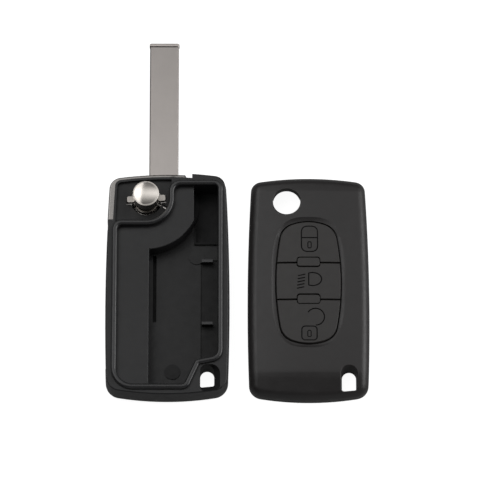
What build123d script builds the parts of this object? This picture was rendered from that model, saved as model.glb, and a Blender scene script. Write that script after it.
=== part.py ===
from build123d import *
from math import asin, degrees, sqrt
import os

# A car key with a folding blade, its shell opened into its two halves.
# The rear half lies on its back with the blade swung out.
# The front cover lies beside it on its rim, keys up.
# Millimetres, +Z up, +Y towards the tip of the blade.

# Outline that both halves share, made of four long arcs with rounded corners
key_length = 72.0
key_width = 37.3
widest_y = -6.5
side_radius = 700.0
top_crown_radius = 110.0
bottom_crown_radius = 90.0
top_corner_radius = 3.4
bottom_corner_radius = 4.2
gap_between_halves = 5.5

# Rear case, heights above the table
case_bulge = 0.4
belt_z = 4.6
back_round = 2.6
rim_round = 0.4
deck_round = 0.3
hub_floor_z = 1.4
hub_depth = 5.0
plate_thickness = 1.1
rim_rise = 1.1
compartment_floor_z = 2.2
pocket_floor_z = 1.0

# Tongue that locates the front cover, with its run set in from the outline
ridge_width = 1.7
ridge_height = 1.1
ridge_side_inset = 2.45
ridge_top_inset = 3.3
ridge_bottom_inset = 2.35
ridge_hub_radius = 7.8
ridge_top_left_round = 3.0
ridge_top_right_round = 2.0
ridge_ring_round = 3.0
ridge_knee_round = 1.2
ridge_foot_round = 2.0
ridge_bottom_round = 6.0
ridge_shoulder_round = 2.3
ridge_ring_rise = 1.9
ridge_knee_rise = 0.5
ridge_knee_gap = 0.8
ridge_foot_gap = 4.3
ridge_crown_round = 0.75

# Pivot of the blade head
pivot_x = -6.6
pivot_y = 27.35
head_reach = 12.3
head_left_foot = 6.4
head_wing_foot = 2.4
head_hub_radius = 8.3
head_swing_radius = 14.8
head_thickness = 4.75
head_edge_round = 0.5
head_play = 0.1
swing_clearance = 0.3
hub_wall_x = 14.1
hub_wall = 0.6
plate_wall = 1.0

# Hub plate over the head
plate_inset = 1.4
lip_width = 0.7
button_hole_radius = 4.9
sleeve_height = 4.8
sleeve_wall = 0.7

# Blade, a plain blank
blade_width = 9.0
blade_thickness = 2.2
blade_offset = 5.3
blade_reach = 53.6
blade_edge_bevel = 0.3
blade_cap_length = 1.0
blade_cap_step = 0.15
blade_cap_bevel = 0.45
tang_foot = 4.9
tang_leg_width = 3.0
tang_leg_drop = 5.9
tang_fit = 0.03
pin_radius = 1.0
pin_wall = 0.4
pin_slit = 0.4
pin_x = 8.2
pin_y = 6.95
pin_fit = 0.02
pin_recess = 0.15

# Blade slot in the left side
slot_clearance = 0.6
slot_inner_gap = 0.5
slot_end_gap = 0.6

# Release button
button_radius = 4.0
button_wall = 0.8
button_rim_z = 7.35
button_edge_z = 12.6
button_bevel = 0.4
button_dome = 0.9
stem_radius = 1.55
stem_foot_z = 4.8
stem_clearance = 0.15
lug_radius = 5.9
lug_width = 1.9
lug_height = 1.3
lug_rise = 0.2
lug_angle = 3.0
lug_clearance = 0.25
button_travel = 2.7

# Flip spring
spring_radius = 3.55
spring_wire = 0.95
spring_turns = 2
spring_bend_radius = 0.8
spring_leg_reach = 7.2
spring_leg_angle = -30.0
spring_seat_gap = 0.03
spring_slot_clearance = 0.12
bore_radius = 4.45
web_start = 4.9
web_width = 0.55
web_thickness = 0.2

# Keyring slot through both halves
ring_slot_side_gap = 6.4
ring_slot_width = 4.3
ring_slot_top_y = -26.3
ring_slot_bottom_y = -33.2
ring_slot_foot_round = 0.6
ring_slot_foot_angle = 6.0
ring_slot_flare = 1.0
ring_slot_rim_flare = 1.8
ring_slot_rim_depth = 1.6
ring_slot_draft = 0.4
ring_slot_wall = 1.0
ring_slot_arch_flat = 0.02

# Details on the floor of the compartment
compartment_wall_x = -5.6
rib_thickness = 0.65
rib_rise = 0.7
pocket_foot_y = 15.2
pocket_rib_drop = 3.6
clip_rib_length = 3.3
clip_rib_thickness = 0.85
clip_rib_height = 4.8
clip_rib_x = 12.2
clip_rib_upper_y = 8.8
clip_rib_lower_y = -11.5
channel_left_x = 10.2
channel_depth = 0.45
channel_top_y = 9.6
groove_shelf = 1.1
groove_width = 1.1
groove_depth = 1.2
groove_top_y = 11.0
groove_bottom_y = -10.6
ejector_radius = 2.4
ejector_depth = 0.3
lower_ejector_place = (1.6, -26.8)
upper_ejector_place = (8.9, 10.6)

# Front cover
cover_height = 7.2
cover_wall = 1.3
cover_edge_round = 3.1
crown_across_radius = 190.0
crown_along_radius = 720.0
crown_crest_y = 2.0
crown_margin = 2.0
fall_start_y = -27.0
fall_round = 14.0
fall_angle = 14.0
tongue_clearance = 0.15
cover_button_hole_radius = 4.2
cover_hole_round = 0.3
cover_boss_radius = 5.7
cover_boss_depth = 2.85
cover_lug_notch_depth = 1.2

# Key pad in the front cover
pad_width = 20.6
pad_length = 40.3
pad_centre_y = 0.8
pad_side_radius = 82.0
pad_end_radius = 14.9
pad_corner_radius = 6.0
pad_bevel_width = 1.3
pad_bevel_depth = 0.35
pad_frame_wall = 1.6
pad_frame_depth = 1.9
pad_sheet_thickness = 1.0
pad_sheet_drop = 1.1
pad_rim_wall = 0.9
key_gap = 0.2
key_sink = 0.15
key_edge_round = 0.2
key_flange_width = 0.5
key_flange_thickness = 0.35
key_flange_gap = 0.08
key_plunger_radius = 2.6
key_plunger_reach = 0.4
key_plunger_clearance = 0.3
upper_division_y = 7.2
lower_division_y = -4.95
tab_width = 7.1
tab_height = 3.1
tab_round = 0.8
tab_offset_y = 0.2

# Heights and places that follow
hub_roof_z = hub_floor_z + hub_depth
plate_z = hub_roof_z + plate_thickness
rim_z = plate_z + rim_rise
ridge_z = rim_z + ridge_height
head_z = hub_floor_z + head_play
head_top_z = head_z + head_thickness
blade_z = head_z + (head_thickness - blade_thickness) / 2
blade_tip_y = pivot_y + blade_reach
pocket_left_x = pivot_x + hub_wall_x + hub_wall
rib_top_z = compartment_floor_z + rib_rise
ring_slot_x = key_width / 2 - ring_slot_side_gap
ring_slot_left = ring_slot_x - ring_slot_width / 2
sleeve_radius = stem_radius + stem_clearance
reach = key_length + key_width
os.makedirs("parts", exist_ok=True)

# The row's origin is the middle of the box around everything, at table height
rear_x = -(key_width + gap_between_halves) / 2
cover_x = (key_width + gap_between_halves) / 2 + case_bulge
halves_y = (key_length / 2 + case_bulge - blade_tip_y) / 2
rear_plane = Plane(origin=(rear_x, halves_y, 0))
hub_plane = Plane(origin=(rear_x + pivot_x, halves_y + pivot_y, 0))
leg_plane = hub_plane.rotated((0, 0, spring_leg_angle))
cover_plane = Plane(origin=(cover_x, halves_y, 0))
cover_side_plane = Plane(origin=cover_plane.origin, x_dir=(0, 1, 0), z_dir=(1, 0, 0))
pad_plane = Plane(origin=(cover_x, halves_y + pad_centre_y, 0))


def key_outline(inset):
    """Outline of both halves at the rim, drawn in evenly by inset."""
    with BuildSketch(Plane.XY) as outline:
        with Locations((key_width / 2 - side_radius, widest_y)):
            Circle(side_radius - inset)
        with Locations((side_radius - key_width / 2, widest_y)):
            Circle(side_radius - inset, mode=Mode.INTERSECT)
        with Locations((0, key_length / 2 - top_crown_radius)):
            Circle(top_crown_radius - inset, mode=Mode.INTERSECT)
        with Locations((0, bottom_crown_radius - key_length / 2)):
            Circle(bottom_crown_radius - inset, mode=Mode.INTERSECT)
        fillet(outline.vertices().group_by(Axis.Y)[-1], top_corner_radius - inset)
        fillet(outline.vertices().group_by(Axis.Y)[0], bottom_corner_radius - inset)
    return outline.sketch_local


def pad_outline(inset):
    """Opening of the key pad about its own centre, drawn in evenly by inset."""
    spacing = pad_length - 2 * pad_end_radius
    with BuildSketch(Plane.XY) as outline:
        SlotCenterToCenter(spacing, 2 * (pad_end_radius - inset), rotation=90)
        with Locations((pad_width / 2 - pad_side_radius, 0)):
            Circle(pad_side_radius - inset, mode=Mode.INTERSECT)
        with Locations((pad_side_radius - pad_width / 2, 0)):
            Circle(pad_side_radius - inset, mode=Mode.INTERSECT)
        fillet(outline.vertices().group_by(Axis.Y)[-1], pad_corner_radius - inset)
        fillet(outline.vertices().group_by(Axis.Y)[0], pad_corner_radius - inset)
    return outline.sketch_local


def ridge_area(grow):
    """Area inside the run of the tongue, grown evenly."""
    right = key_width / 2 - ridge_side_inset
    top = key_length / 2 - ridge_top_inset
    bottom = ridge_bottom_inset - key_length / 2
    with BuildSketch(Plane.XY) as area:
        with BuildLine():
            FilletPolyline(
                (pivot_x + ridge_hub_radius, top),
                (right, top),
                (right, ring_slot_top_y + ridge_ring_rise),
                (ring_slot_left - ridge_knee_gap, ring_slot_top_y + ridge_knee_rise),
                (ring_slot_left - ridge_foot_gap, bottom),
                (-right, bottom),
                (-right, pivot_y - ridge_hub_radius),
                (pivot_x + ridge_hub_radius, pivot_y - ridge_hub_radius),
                radius=[
                    ridge_top_left_round,
                    ridge_top_right_round,
                    ridge_ring_round,
                    ridge_knee_round,
                    ridge_foot_round,
                    ridge_bottom_round,
                    ridge_shoulder_round,
                    ridge_hub_radius,
                ],
                close=True,
            )
        make_face()
        offset(amount=grow)
    return area.sketch_local


def ring_slot(grow):
    """Keyring slot with an arched top and a slanted foot, grown evenly."""
    width = ring_slot_width + 2 * grow
    height = ring_slot_top_y - ring_slot_bottom_y + grow
    with BuildSketch(Plane.XY) as slot:
        with Locations((ring_slot_x, ring_slot_top_y + grow)):
            Rectangle(width, height + width, align=(Align.CENTER, Align.MAX))
        foot = (ring_slot_x, ring_slot_bottom_y - grow, 0)
        with Locations(Location(foot, (0, 0, ring_slot_foot_angle))):
            Rectangle(key_width, 2 * width, align=(Align.CENTER, Align.MAX), mode=Mode.SUBTRACT)
        fillet(slot.vertices().group_by(Axis.Y)[-1], (width - ring_slot_arch_flat) / 2)
        fillet(slot.vertices().sort_by(Axis.Y)[:2], ring_slot_foot_round + grow)
    return slot.sketch_local


def under_crown(drop):
    """Everything under the cover's crowned top, with the crown lowered by drop."""
    half = key_width / 2 + crown_margin
    across = crown_across_radius - drop
    sag = across - sqrt(across**2 - half**2)
    crest_start = degrees(asin((key_length / 2 + crown_margin) / crown_along_radius))
    crest_end = degrees(asin((crown_crest_y - fall_start_y) / crown_along_radius))
    with BuildPart() as block:
        with BuildLine(cover_side_plane) as spine:
            crest = CenterArc(
                (crown_crest_y, cover_height - crown_along_radius),
                crown_along_radius - drop,
                90 - crest_start,
                crest_start + crest_end,
            )
            fall = JernArc(crest @ 1, crest % 1, fall_round - drop, fall_angle)
            Line(fall @ 1, (fall @ 1) + (fall % 1) * key_width)
        with BuildSketch(Plane(spine.line @ 0, x_dir=(1, 0, 0), z_dir=spine.line % 0)):
            with BuildLine():
                ThreePointArc((-half, -sag), (0, 0), (half, -sag))
                Polyline(
                    (half, -sag),
                    (half, -cover_height - crown_margin),
                    (-half, -cover_height - crown_margin),
                    (-half, -sag),
                )
            make_face()
        sweep(path=spine.line)
    return block.part


def cover_form(inset):
    """Solid under the cover's skin, drawn in evenly by inset."""
    with BuildPart() as form:
        with BuildSketch(cover_plane):
            add(key_outline(inset))
        extrude(amount=cover_height)
        add(under_crown(inset), mode=Mode.INTERSECT)
        sides = form.faces().filter_by(lambda face: abs(face.normal_at().Z) < 0.01)
        tops = form.faces().filter_by(lambda face: face.normal_at().Z > 0.5)
        shoulder = tops.edges().filter_by(lambda edge: edge in sides.edges())
        fillet(shoulder, cover_edge_round - inset)
    return form.part


# Rear case: one moulding with the hub cavity, blade slot and board compartment
with BuildPart() as rear_case:
    # Back with a rounded edge, and sides that lean in from the belt to the rim
    with BuildSketch(rear_plane):
        add(key_outline(-case_bulge))
    extrude(amount=belt_z)
    fillet(rear_case.faces().sort_by(Axis.Z)[0].edges(), back_round)
    with BuildSketch(rear_plane.offset(belt_z)):
        add(key_outline(-case_bulge))
    with BuildSketch(rear_plane.offset(rim_z)):
        add(key_outline(0))
    loft(ruled=True)
    fillet(rear_case.faces().sort_by(Axis.Z)[-1].edges(), rim_round)

    # Tongue around the inside, with a rounded top
    with BuildSketch(rear_plane.offset(rim_z)):
        add(ridge_area(ridge_width / 2))
        add(ridge_area(-ridge_width / 2), mode=Mode.SUBTRACT)
    extrude(amount=ridge_height)
    fillet(rear_case.faces().sort_by(Axis.Z)[-1].edges(), ridge_crown_round)

    # Deck inside the tongue, level with the hub plate
    with BuildSketch(rear_plane.offset(plate_z)):
        add(ridge_area(-ridge_width / 2))
    extrude(amount=rim_rise, mode=Mode.SUBTRACT)

    # Compartment of the circuit board, beside the blade slot and around the hub
    with BuildSketch(rear_plane.offset(compartment_floor_z)):
        add(ridge_area(-ridge_width / 2))
        with BuildSketch(Plane.XY, mode=Mode.SUBTRACT):
            with Locations((pivot_x, pivot_y)):
                Circle(head_swing_radius + swing_clearance + plate_wall)
            with Locations((pivot_x + hub_wall_x + hub_wall, pivot_y)):
                Rectangle(
                    reach,
                    reach,
                    align=(Align.MAX, Align.CENTER),
                    mode=Mode.INTERSECT,
                )
        with Locations((compartment_wall_x, 0)):
            Rectangle(reach, 2 * reach, align=(Align.MAX, Align.CENTER), mode=Mode.SUBTRACT)
    extrude(amount=plate_z - compartment_floor_z, mode=Mode.SUBTRACT)
    deck_edges = rear_case.edges(Select.LAST).filter_by_position(Axis.Z, plate_z, plate_z)
    fillet(deck_edges.sort_by(SortBy.LENGTH)[-3:], deck_round)

    # Deeper pocket in the top right corner, behind an L-shaped rib
    with BuildSketch(rear_plane.offset(pocket_floor_z)):
        add(ridge_area(-ridge_width / 2))
        with Locations((pocket_left_x, pocket_foot_y)):
            Rectangle(reach, reach, align=(Align.MIN, Align.MIN), mode=Mode.INTERSECT)
        with Locations((pivot_x, pivot_y)):
            Circle(head_swing_radius + swing_clearance + plate_wall, mode=Mode.SUBTRACT)
    extrude(amount=compartment_floor_z - pocket_floor_z, mode=Mode.SUBTRACT)

    # Cavity of the blade head, open at the top left corner where the head shows
    with BuildSketch(rear_plane.offset(hub_floor_z)):
        with Locations((pivot_x, pivot_y)):
            Circle(head_swing_radius + swing_clearance)
        with Locations((pivot_x + hub_wall_x, pivot_y)):
            Rectangle(reach, key_length, align=(Align.MAX, Align.CENTER), mode=Mode.INTERSECT)
            Rectangle(key_width, key_width, align=(Align.MAX, Align.MIN))
    extrude(amount=hub_depth, mode=Mode.SUBTRACT)

    # Slot that takes the folded blade, open along the left side
    with BuildSketch(rear_plane.offset(blade_z - slot_clearance)):
        with Locations((pivot_x + slot_inner_gap - blade_offset + blade_width / 2, pivot_y)):
            Rectangle(
                key_width,
                blade_reach + slot_end_gap,
                align=(Align.MAX, Align.MAX),
            )
    extrude(amount=blade_thickness + 2 * slot_clearance, mode=Mode.SUBTRACT)

    # Hub plate, set back from the head all along the open corner
    with BuildSketch(rear_plane.offset(hub_roof_z)):
        with Locations((pivot_x + hub_wall_x, pivot_y - head_left_foot - swing_clearance)):
            Rectangle(reach, key_width, align=(Align.MAX, Align.MIN))
        add(key_outline(plate_inset), mode=Mode.SUBTRACT)
    extrude(amount=ridge_z - hub_roof_z, mode=Mode.SUBTRACT)

    # Shallow recess of the hub plate, between its lip and the tongue
    with BuildSketch(rear_plane.offset(plate_z)):
        with Locations((pivot_x + ridge_hub_radius, pivot_y - ridge_hub_radius)):
            Rectangle(reach, key_width, align=(Align.MAX, Align.MIN))
        add(key_outline(plate_inset + lip_width), mode=Mode.INTERSECT)
        add(ridge_area(ridge_width / 2), mode=Mode.SUBTRACT)
    extrude(amount=rim_rise, mode=Mode.SUBTRACT)

    # Hole of the release button with notches for its lugs
    with BuildSketch(hub_plane.offset(hub_roof_z)):
        Circle(button_hole_radius)
        with Locations(Rotation(0, 0, lug_angle)):
            Rectangle(2 * (lug_radius + lug_clearance), lug_width + 2 * lug_clearance)
    extrude(amount=ridge_z - hub_roof_z, mode=Mode.SUBTRACT)

    # Window for the upper leg of the flip spring, crossed by a thin web
    with BuildSketch(leg_plane.offset(hub_roof_z)):
        with Locations((0, spring_bend_radius)):
            Rectangle(
                spring_leg_reach + spring_slot_clearance,
                spring_wire + 2 * spring_slot_clearance,
                align=(Align.MIN, Align.CENTER),
            )
    extrude(amount=plate_thickness, mode=Mode.SUBTRACT)
    with BuildSketch(leg_plane.offset(plate_z - web_thickness)):
        with Locations((web_start, spring_bend_radius)):
            Rectangle(web_width, 2 * spring_wire, align=(Align.MIN, Align.CENTER))
    extrude(amount=web_thickness)

    # Sleeve that guides the stem of the release button
    with BuildSketch(hub_plane.offset(hub_floor_z)):
        Circle(sleeve_radius + sleeve_wall)
        Circle(sleeve_radius, mode=Mode.SUBTRACT)
    extrude(amount=sleeve_height)

    # Keyring slot, flared at the back and towards the corner of the rim
    with BuildSketch(rear_plane):
        add(ring_slot(0))
    extrude(amount=ridge_z, mode=Mode.SUBTRACT)
    with BuildSketch(rear_plane):
        add(ring_slot(ring_slot_flare))
    with BuildSketch(rear_plane.offset(ring_slot_flare)):
        add(ring_slot(0))
    loft(ruled=True, mode=Mode.SUBTRACT)
    with BuildSketch(rear_plane.offset(rim_z - ring_slot_rim_depth)):
        add(ring_slot(0))
    with BuildSketch(rear_plane.offset(rim_z)):
        with Locations((ring_slot_rim_flare / 2, -ring_slot_rim_flare / 2)):
            add(ring_slot(ring_slot_rim_flare / 2))
    loft(ruled=True, mode=Mode.SUBTRACT)

    # Lower channel along the right side of the compartment
    with BuildSketch(rear_plane.offset(compartment_floor_z - channel_depth)):
        add(ridge_area(-ridge_width / 2))
        with Locations((channel_left_x, channel_top_y)):
            Rectangle(reach, reach, align=(Align.MIN, Align.MAX), mode=Mode.INTERSECT)
    extrude(amount=channel_depth, mode=Mode.SUBTRACT)

    # Ribs that locate the circuit board
    with BuildSketch(rear_plane.offset(pocket_floor_z)):
        right = key_width / 2 - ridge_side_inset
        with Locations((pocket_left_x, pocket_foot_y)):
            Rectangle(right - pocket_left_x, rib_thickness, align=(Align.MIN, Align.MAX))
            Rectangle(rib_thickness, pocket_rib_drop, align=(Align.MIN, Align.MIN))
    extrude(amount=rib_top_z - pocket_floor_z)
    with BuildSketch(rear_plane.offset(compartment_floor_z - channel_depth)):
        with Locations((clip_rib_x, clip_rib_upper_y), (clip_rib_x, clip_rib_lower_y)):
            Rectangle(clip_rib_length, clip_rib_thickness)
    extrude(amount=channel_depth + clip_rib_height)

    # Groove at the foot of the deck's wall, and marks of the ejector pins
    with BuildSketch(rear_plane.offset(compartment_floor_z)):
        with Locations((compartment_wall_x + groove_shelf, groove_bottom_y)):
            Rectangle(groove_width, groove_top_y - groove_bottom_y, align=(Align.MIN, Align.MIN))
    extrude(amount=-groove_depth, mode=Mode.SUBTRACT)
    with BuildSketch(rear_plane.offset(compartment_floor_z)):
        with Locations(lower_ejector_place, upper_ejector_place):
            Circle(ejector_radius)
    extrude(amount=ejector_depth)
rear_case.part.label = "rear_case"
export_step(rear_case.part, "parts/rear_case.step")

# Blade head: die-cast, flush with the outline at the open corner
with BuildPart() as blade_head:
    with BuildSketch(rear_plane.offset(head_z)):
        with Locations((pivot_x, pivot_y - head_left_foot)):
            Rectangle(key_width, key_width, align=(Align.MAX, Align.MIN))
        with Locations((pivot_x, pivot_y - head_wing_foot)):
            Rectangle(head_reach, key_width, align=(Align.MIN, Align.MIN))
        add(key_outline(-case_bulge), mode=Mode.INTERSECT)
        with Locations((pivot_x, pivot_y)):
            Circle(head_swing_radius, mode=Mode.INTERSECT)
            Circle(head_hub_radius)
    extrude(amount=head_thickness)
    outer_edges = blade_head.edges().filter_by(GeomType.CIRCLE).filter_by(
        lambda edge: edge.radius > head_swing_radius or edge.radius < head_hub_radius / 2
    )
    fillet(outer_edges, head_edge_round)

    # Bore of the spring and button, with keyways that the lugs press into
    with BuildSketch(hub_plane.offset(head_z)):
        Circle(bore_radius)
    extrude(amount=head_thickness, mode=Mode.SUBTRACT)
    with BuildSketch(hub_plane.offset(head_top_z)):
        with Locations(Rotation(0, 0, lug_angle)):
            Rectangle(2 * (lug_radius + lug_clearance), lug_width + 2 * lug_clearance)
    extrude(amount=plate_z + lug_rise - button_travel - lug_clearance - head_top_z, mode=Mode.SUBTRACT)

    # Slot of the spring's lower leg, open underneath
    with BuildSketch(leg_plane.offset(head_z)):
        with Locations((0, -spring_bend_radius)):
            Rectangle(
                spring_leg_reach + spring_slot_clearance,
                spring_wire + 2 * spring_slot_clearance,
                align=(Align.MIN, Align.CENTER),
            )
    extrude(amount=spring_wire + 2 * spring_slot_clearance, mode=Mode.SUBTRACT)

    # Pocket of the blade's tang, open at the top edge, and the hole of its pin
    with BuildSketch(hub_plane.offset(blade_z - tang_fit)):
        with Locations((blade_offset, tang_foot - tang_fit)):
            Rectangle(blade_width + 2 * tang_fit, key_width, align=(Align.CENTER, Align.MIN))
        with Locations((blade_offset + blade_width / 2 + tang_fit, tang_foot)):
            Rectangle(
                tang_leg_width + 2 * tang_fit,
                2 * (tang_leg_drop + tang_fit),
                align=(Align.MAX, Align.CENTER),
            )
    extrude(amount=blade_thickness + 2 * tang_fit, mode=Mode.SUBTRACT)
    with BuildSketch(hub_plane.offset(head_z)):
        with Locations((pin_x, pin_y)):
            Circle(pin_radius + pin_fit)
    extrude(amount=head_thickness, mode=Mode.SUBTRACT)
blade_head.part.label = "blade_head"
export_step(blade_head.part, "parts/blade_head.step")

# Blade: an uncut blank with an L-shaped tang inside the head
with BuildPart() as blade:
    tip = blade_reach - blade_cap_length
    with BuildSketch(hub_plane.offset(blade_z)):
        with Locations((blade_offset, tang_foot)):
            Rectangle(blade_width, tip - tang_foot, align=(Align.CENTER, Align.MIN))
    extrude(amount=blade_thickness)
    chamfer(blade.edges().filter_by(Axis.Y), blade_edge_bevel)
    with BuildSketch(hub_plane.offset(blade_z)):
        with Locations((blade_offset, tip)):
            Rectangle(
                blade_width + 2 * blade_cap_step,
                blade_cap_length,
                align=(Align.CENTER, Align.MIN),
            )
    extrude(amount=blade_thickness)
    chamfer(blade.faces().sort_by(Axis.Y)[-1].edges(), blade_cap_bevel)
    with BuildSketch(hub_plane.offset(blade_z)):
        with Locations((blade_offset + blade_width / 2, tang_foot + tang_leg_width)):
            Rectangle(
                tang_leg_width,
                tang_leg_width + tang_leg_drop,
                align=(Align.MAX, Align.MAX),
            )
    extrude(amount=blade_thickness)
    with BuildSketch(hub_plane.offset(blade_z)):
        with Locations((pin_x, pin_y)):
            Circle(pin_radius + pin_fit)
    extrude(amount=blade_thickness, mode=Mode.SUBTRACT)
blade.part.label = "blade"
export_step(blade.part, "parts/blade.step")

# Roll pin: slit spring tube that holds the blade in the head
with BuildPart() as roll_pin:
    with BuildSketch(hub_plane.offset(head_z + pin_recess)):
        with Locations((pin_x, pin_y)):
            Circle(pin_radius)
            Circle(pin_radius - pin_wall, mode=Mode.SUBTRACT)
            Rectangle(
                pin_slit,
                2 * pin_radius,
                align=(Align.CENTER, Align.MAX),
                mode=Mode.SUBTRACT,
            )
    extrude(amount=head_thickness - 2 * pin_recess)
roll_pin.part.label = "roll_pin"
export_step(roll_pin.part, "parts/roll_pin.step")

# Release button: domed cup with a guide stem and two lugs
with BuildPart() as release_button:
    crown_z = button_edge_z + button_bevel + button_dome
    with BuildSketch(Plane(origin=hub_plane.origin, x_dir=(1, 0, 0), z_dir=(0, -1, 0))):
        with BuildLine():
            Polyline(
                (0, stem_foot_z),
                (stem_radius, stem_foot_z),
                (stem_radius, button_edge_z - button_wall),
                (button_radius - button_wall, button_edge_z - button_wall),
                (button_radius - button_wall, button_rim_z),
                (button_radius, button_rim_z),
                (button_radius, button_edge_z),
                (button_radius - button_bevel, button_edge_z + button_bevel),
            )
            TangentArc(
                (0, crown_z),
                (button_radius - button_bevel, button_edge_z + button_bevel),
                tangent=(1, 0),
            )
            Line((0, crown_z), (0, stem_foot_z))
        make_face()
    revolve(axis=Axis(hub_plane.origin, (0, 0, 1)))
    with BuildSketch(hub_plane.offset(plate_z + lug_rise)):
        Circle(lug_radius)
        with Locations(Rotation(0, 0, lug_angle)):
            Rectangle(2 * lug_radius, lug_width, mode=Mode.INTERSECT)
        Circle(button_radius - button_wall / 2, mode=Mode.SUBTRACT)
    extrude(amount=lug_height)
release_button.part.label = "release_button"
export_step(release_button.part, "parts/release_button.step")

# Flip spring: coil around the sleeve with one leg in the head and one in the plate
with BuildPart() as flip_spring:
    foot_z = hub_floor_z + spring_wire / 2 + spring_seat_gap
    top_z = plate_z - web_thickness - spring_wire / 2 - spring_seat_gap
    coil_height = top_z - foot_z
    with BuildLine() as coil:
        Helix(
            coil_height / spring_turns,
            coil_height,
            spring_radius,
            center=hub_plane.origin + Vector(0, 0, foot_z),
        )
    with BuildLine(mode=Mode.PRIVATE) as turned_coil:
        add(coil.line.rotate(Axis(hub_plane.origin, (0, 0, 1)), spring_leg_angle))
    with BuildSketch(Plane(origin=turned_coil.line @ 0, z_dir=turned_coil.line % 0)):
        Circle(spring_wire / 2)
    sweep(path=turned_coil.line, is_frenet=True)
    for leg_z, side in [(foot_z, -1), (top_z, 1)]:
        with BuildLine(leg_plane.offset(leg_z)) as leg:
            bend = JernArc((spring_radius, 0), (0, side), spring_bend_radius, -90 * side)
            Line(bend @ 1, (spring_leg_reach, side * spring_bend_radius))
        with BuildSketch(Plane(origin=leg.line @ 0, z_dir=leg.line % 0)):
            Circle(spring_wire / 2)
        sweep(path=leg.line)
        with Locations(leg.line @ 0):
            Sphere(spring_wire / 2)
flip_spring.part.label = "flip_spring"
export_step(flip_spring.part, "parts/flip_spring.step")

# Inside of the front cover, left standing around the button hole, slot and pad
with BuildPart() as cover_hollow:
    add(cover_form(cover_wall))
    with BuildSketch(cover_plane.offset(cover_height - cover_boss_depth)):
        with Locations((pivot_x, pivot_y)):
            Circle(cover_boss_radius)
    extrude(amount=cover_height, mode=Mode.SUBTRACT)
    with BuildSketch(cover_plane):
        add(ring_slot(ring_slot_wall + ring_slot_draft))
    extrude(amount=cover_height, mode=Mode.SUBTRACT)
    with BuildSketch(pad_plane.offset(cover_height - pad_frame_depth)):
        add(pad_outline(-pad_frame_wall))
    extrude(amount=cover_height, mode=Mode.SUBTRACT)

# Front cover: crowned shell with the openings for the button, the keys and the ring
with BuildPart() as front_cover:
    add(cover_form(0))
    add(cover_hollow.part, mode=Mode.SUBTRACT)

    # Groove in the rim that takes the tongue of the rear case
    with BuildSketch(cover_plane):
        add(ridge_area(ridge_width / 2 + tongue_clearance))
        add(ridge_area(-ridge_width / 2 - tongue_clearance), mode=Mode.SUBTRACT)
    extrude(amount=ridge_height + tongue_clearance, mode=Mode.SUBTRACT)

    # Hole of the release button, with notches for its lugs in the boss
    with BuildSketch(cover_plane):
        with Locations((pivot_x, pivot_y)):
            Circle(cover_button_hole_radius)
    extrude(amount=cover_height, mode=Mode.SUBTRACT)
    fillet(front_cover.edges(Select.LAST).sort_by(Axis.Z)[-1], cover_hole_round)
    with BuildSketch(cover_plane.offset(cover_height - cover_boss_depth)):
        with Locations(Location((pivot_x, pivot_y, 0), (0, 0, lug_angle))):
            Rectangle(2 * (lug_radius + lug_clearance), lug_width + 2 * lug_clearance)
    extrude(amount=cover_lug_notch_depth, mode=Mode.SUBTRACT)

    # Keyring slot, wider towards the outside, with a bevelled foot
    with BuildSketch(cover_plane):
        add(ring_slot(0))
    with BuildSketch(cover_plane.offset(cover_height)):
        add(ring_slot(ring_slot_draft))
    loft(ruled=True, mode=Mode.SUBTRACT)
    slot_walls = front_cover.faces(Select.LAST)
    mouth = slot_walls.edges().filter_by(lambda edge: edge.center().Z > cover_height / 2)
    outside = front_cover.faces().filter_by(lambda face: face.normal_at().Z > 0.5)
    fillet(mouth.filter_by(lambda edge: edge in outside.edges()), cover_hole_round)

    # Opening of the key pad with a shallow bevel around it
    with BuildSketch(pad_plane):
        add(pad_outline(0))
    extrude(amount=cover_height, mode=Mode.SUBTRACT)
    with BuildSketch(pad_plane.offset(cover_height - pad_bevel_depth)):
        add(pad_outline(0))
    with BuildSketch(pad_plane.offset(cover_height)):
        add(pad_outline(-pad_bevel_width))
    loft(ruled=True, mode=Mode.SUBTRACT)
front_cover.part.label = "front_cover"
export_step(front_cover.part, "parts/front_cover.step")

# Heights of the key pad under its frame
frame_z = cover_height - pad_frame_depth
sheet_top_z = frame_z - pad_sheet_drop
sheet_z = sheet_top_z - pad_sheet_thickness
flange_z = frame_z - key_flange_gap - key_flange_thickness

# Middle heights of the three keys and of the two tabs between them
upper_key_y = (pad_centre_y + pad_length / 2 + upper_division_y) / 2
middle_key_y = (upper_division_y + lower_division_y) / 2
lower_key_y = (pad_centre_y - pad_length / 2 + lower_division_y) / 2
key_places = [upper_key_y, middle_key_y, lower_key_y]
tab_places = [upper_division_y + tab_offset_y, lower_division_y + tab_offset_y]


def tab_outline(grow):
    """Both tabs between the keys, grown evenly, in the cover's frame."""
    with BuildSketch(Plane.XY) as tabs:
        with Locations([(0, y) for y in tab_places]):
            RectangleRounded(tab_width + 2 * grow, tab_height + 2 * grow, tab_round + grow)
    return tabs.sketch_local


# Key pad: sheet under the keys with a rim against the frame, and two tabs
with BuildPart() as key_pad:
    with BuildSketch(pad_plane.offset(sheet_z)):
        add(pad_outline(-pad_frame_wall))
    extrude(amount=pad_sheet_thickness)
    with BuildSketch(pad_plane.offset(sheet_top_z)):
        add(pad_outline(-pad_frame_wall))
        add(pad_outline(pad_rim_wall - pad_frame_wall), mode=Mode.SUBTRACT)
    extrude(amount=pad_sheet_drop)
    with BuildSketch(cover_plane.offset(sheet_top_z)):
        add(tab_outline(0))
    extrude(amount=cover_height - sheet_top_z)
    add(under_crown(key_sink), mode=Mode.INTERSECT)
    fillet(key_pad.faces().sort_by(Axis.Z)[-2:].edges(), key_edge_round)
    with BuildSketch(cover_plane.offset(sheet_z)):
        with Locations([(0, y) for y in key_places]):
            Circle(key_plunger_radius + key_plunger_clearance)
    extrude(amount=pad_sheet_thickness, mode=Mode.SUBTRACT)
key_pad.part.label = "key_pad"
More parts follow.
